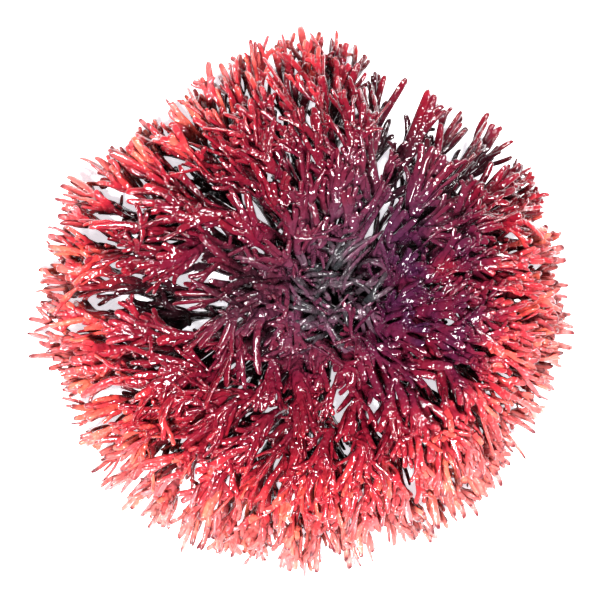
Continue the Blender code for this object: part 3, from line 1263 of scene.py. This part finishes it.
def frond_finish():
    """Wet seaweed skin: dusty purple at the root, then maroon, crimson, coral and pink."""
    material, new = new_material("wet_frond")
    place = new.node("ShaderNodeTexCoord", output=3)
    youth = new.node("ShaderNodeAttribute", {"attribute_name": "youth"}, output=2)
    tint = new.node("ShaderNodeAttribute", {"attribute_name": "tint"}, output=2)
    tip = new.node("ShaderNodeAttribute", {"attribute_name": "tip"}, output=2)
    cloud = new.node("ShaderNodeTexNoise", {}, {"Vector": place, "Scale": 90.0, "Detail": 2.0})
    mottle = new.node("ShaderNodeTexNoise", {}, {"Vector": place, "Scale": 520.0, "Detail": 3.0})
    grain = new.node("ShaderNodeTexNoise", {}, {"Vector": place, "Scale": 1300.0, "Detail": 0.5})
    # The youth carries the painted shade of the upper right side, so the ramp gives darker colours
    # there.
    shown = youth + (cloud - 0.5) * 0.22 + (mottle - 0.5) * 0.16 + (tint - 0.5) * 0.26
    colour = new.node("ShaderNodeValToRGB", {"stops": YOUTHS}, {"Fac": shown})
    violet = new.node("ShaderNodeAttribute", {"attribute_name": "violet"}, output=2)
    violet = (violet + 0.10) * steps_up(new, cloud, 0.30, 0.55)
    colour = mixed(new, violet * 0.90, colour, (*VIOLET, 1))
    orange = steps_up(new, tint, 0.52, 0.85) * steps_up(new, youth, 0.55, 0.80)
    colour = mixed(new, orange * 0.55, colour, (*ORANGE, 1))
    pink = steps_up(new, 1.0 - tint, 0.55, 0.85) * steps_up(new, youth, 0.65, 0.90)
    colour = mixed(new, pink * 0.55, colour, (*PINK, 1))
    point = steps_up(new, tip, 0.80, 0.93) * steps_up(new, mottle, 0.44, 0.52)
    point = point * steps_up(new, youth, 0.6, 0.9)
    colour = mixed(new, point * 0.95, colour, (*DARK_POINT, 1))
    # Painted shade: tissue that lies low in the clump, except at the young tips, is darkened towards
    # near black.
    depth = new.node("ShaderNodeAttribute", {"attribute_name": "depth"}, output=2)
    painted_shade_mask = steps_up(new, depth, 0.18, 0.60) * steps_up(new, 0.95 - youth, 0.0, 0.4)
    colour = mixed(new, painted_shade_mask * 0.85, colour, (*PAINTED_SHADE, 1))
    bump_inputs = {"Height": grain, "Strength": 0.8, "Distance": 0.00060}
    bump = new.node("ShaderNodeBump", {}, bump_inputs)
    skin_inputs = {
        "Base Color": colour,
        "Roughness": 0.04 + mottle * 0.10,
        "Specular IOR Level": 0.5,
        "IOR": WET,
        "Normal": bump,
        "Coat Weight": 0.5,
        "Coat IOR": WATER,
        "Coat Roughness": 0.06,
    }
    skin = new.node("ShaderNodeBsdfPrincipled", {}, skin_inputs)
    red_glow = new.node("ShaderNodeBsdfTranslucent", {}, {"Color": (*RED_GLOW, 1)})
    pink_glow = new.node("ShaderNodeBsdfTranslucent", {}, {"Color": (*PINK_GLOW, 1)})
    pale = steps_up(new, youth, 0.72, 1.0)
    glow = new.node("ShaderNodeMixShader", {}, {0: pale, 1: red_glow, 2: pink_glow})
    through = 0.02 + steps_up(new, youth, 0.5, 1.0) * 0.32
    both = new.node("ShaderNodeMixShader", {}, {0: through, 1: skin, 2: glow})
    new.node("ShaderNodeOutputMaterial", {}, {"Surface": both}, output=None)
    return material


# %% [markdown]
# ## The finish of the holdfast
#
# The old tissue has lost its red. It is slate grey with dusty purple shoots, duller than the
# fronds, with a fine grain like wet leather.

# %% The holdfast's finish
OLD_AGES = (
    (0.00, (0.008, 0.009, 0.010)),
    (0.12, (0.023, 0.016, 0.020)),
    (0.24, (0.048, 0.018, 0.031)),
    (0.38, (0.066, 0.014, 0.031)),
)


def holdfast_finish():
    """Old seaweed: slate with dusty purple shoots, half dull."""
    material, new = new_material("old_holdfast")
    place = new.node("ShaderNodeTexCoord", output=3)
    growth = new.node("ShaderNodeAttribute", {"attribute_name": "growth"}, output=2)
    tint = new.node("ShaderNodeAttribute", {"attribute_name": "tint"}, output=2)
    mottle = new.node("ShaderNodeTexNoise", {}, {"Vector": place, "Scale": 700.0, "Detail": 3.0})
    grain = new.node("ShaderNodeTexNoise", {}, {"Vector": place, "Scale": 1300.0, "Detail": 0.5})
    shown = growth + (mottle - 0.5) * 0.2 + (tint - 0.5) * 0.26
    colour = new.node("ShaderNodeValToRGB", {"stops": OLD_AGES}, {"Fac": shown})
    bump_inputs = {"Height": grain, "Strength": 0.8, "Distance": 0.0006}
    bump = new.node("ShaderNodeBump", {}, bump_inputs)
    inputs = {
        "Base Color": colour,
        "Roughness": 0.10 + mottle * 0.20,
        "Specular IOR Level": 0.5,
        "IOR": WET,
        "Normal": bump,
        "Coat Weight": 0.3,
        "Coat IOR": WATER,
        "Coat Roughness": 0.10,
    }
    skin = new.node("ShaderNodeBsdfPrincipled", {}, inputs)
    new.node("ShaderNodeOutputMaterial", {}, {"Surface": skin}, output=None)
    return material


# %% Dress the pieces
wet_frond = frond_finish()
for name, piece in fronds.items():
    piece.data.materials.append(wet_frond)
    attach(piece, "root")
    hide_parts(name)
holdfast.data.materials.append(holdfast_finish())
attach(holdfast, "root")
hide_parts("holdfast")

# %% [markdown]
# ## Studio
#
# A white table, light from all round, and one small lamp high above, a little to the lower left,
# that draws the short streaks on the wet stems. The camera looks straight down.

# %% Table
bpy.ops.object.select_all(action="DESELECT")
bpy.ops.mesh.primitive_plane_add(size=1.6)
table = bpy.context.object
table.name = "table"
white, new = new_material("white_table")
speck = new.node("ShaderNodeTexNoise", {}, {"Scale": 40.0})
paper_whites = ((0, (0.90, 0.90, 0.91)), (1, (0.94, 0.94, 0.95)))
paper = new.node("ShaderNodeValToRGB", {"stops": paper_whites}, {"Fac": speck})
table_inputs = {
    "Base Color": paper,
    "Roughness": 0.8,
    "Emission Color": (0.98, 0.94, 1.0, 1),
    "Emission Strength": 0.70,
}
lit_paper = new.node("ShaderNodeBsdfPrincipled", {}, table_inputs)
new.node("ShaderNodeOutputMaterial", {}, {"Surface": lit_paper}, output=None)
table.data.materials.append(white)

# %% Lamps
SKY = 0.14
world = bpy.data.worlds.new("studio")
bpy.context.scene.world = world
world.use_nodes = True
world.node_tree.nodes["Background"].inputs["Color"].default_value = (1, 1, 1, 1)
world.node_tree.nodes["Background"].inputs["Strength"].default_value = SKY


def lamp(name, place, size, power):
    """A square soft lamp that faces the clump."""
    light = bpy.data.lights.new(name, "AREA")
    light.size = size
    light.energy = power
    thing = bpy.data.objects.new(name, light)
    thing.location = place
    thing.rotation_euler = (-Vector(place)).to_track_quat("-Z", "Y").to_euler()
    bpy.context.scene.collection.objects.link(thing)


lamp("key", (-0.08, -0.12, 0.42), 0.08, 9.0)
lamp("window", (0.20, 0.14, 0.36), 0.06, 3.5)

# %% Camera
FRAME_WIDTH = 0.090
CAMERA_HEIGHT = 0.32
camera = bpy.data.objects.new("camera", bpy.data.cameras.new("camera"))
bpy.context.scene.collection.objects.link(camera)
camera.data.lens_unit = "FOV"
camera.data.angle = 2 * math.atan(FRAME_WIDTH / 2 / CAMERA_HEIGHT)
middle = (cad_low + cad_high) / 2
camera.location = (middle.x, middle.y, CAMERA_HEIGHT)
bpy.context.scene.camera = camera
bpy.context.scene.view_settings.view_transform = "Standard"
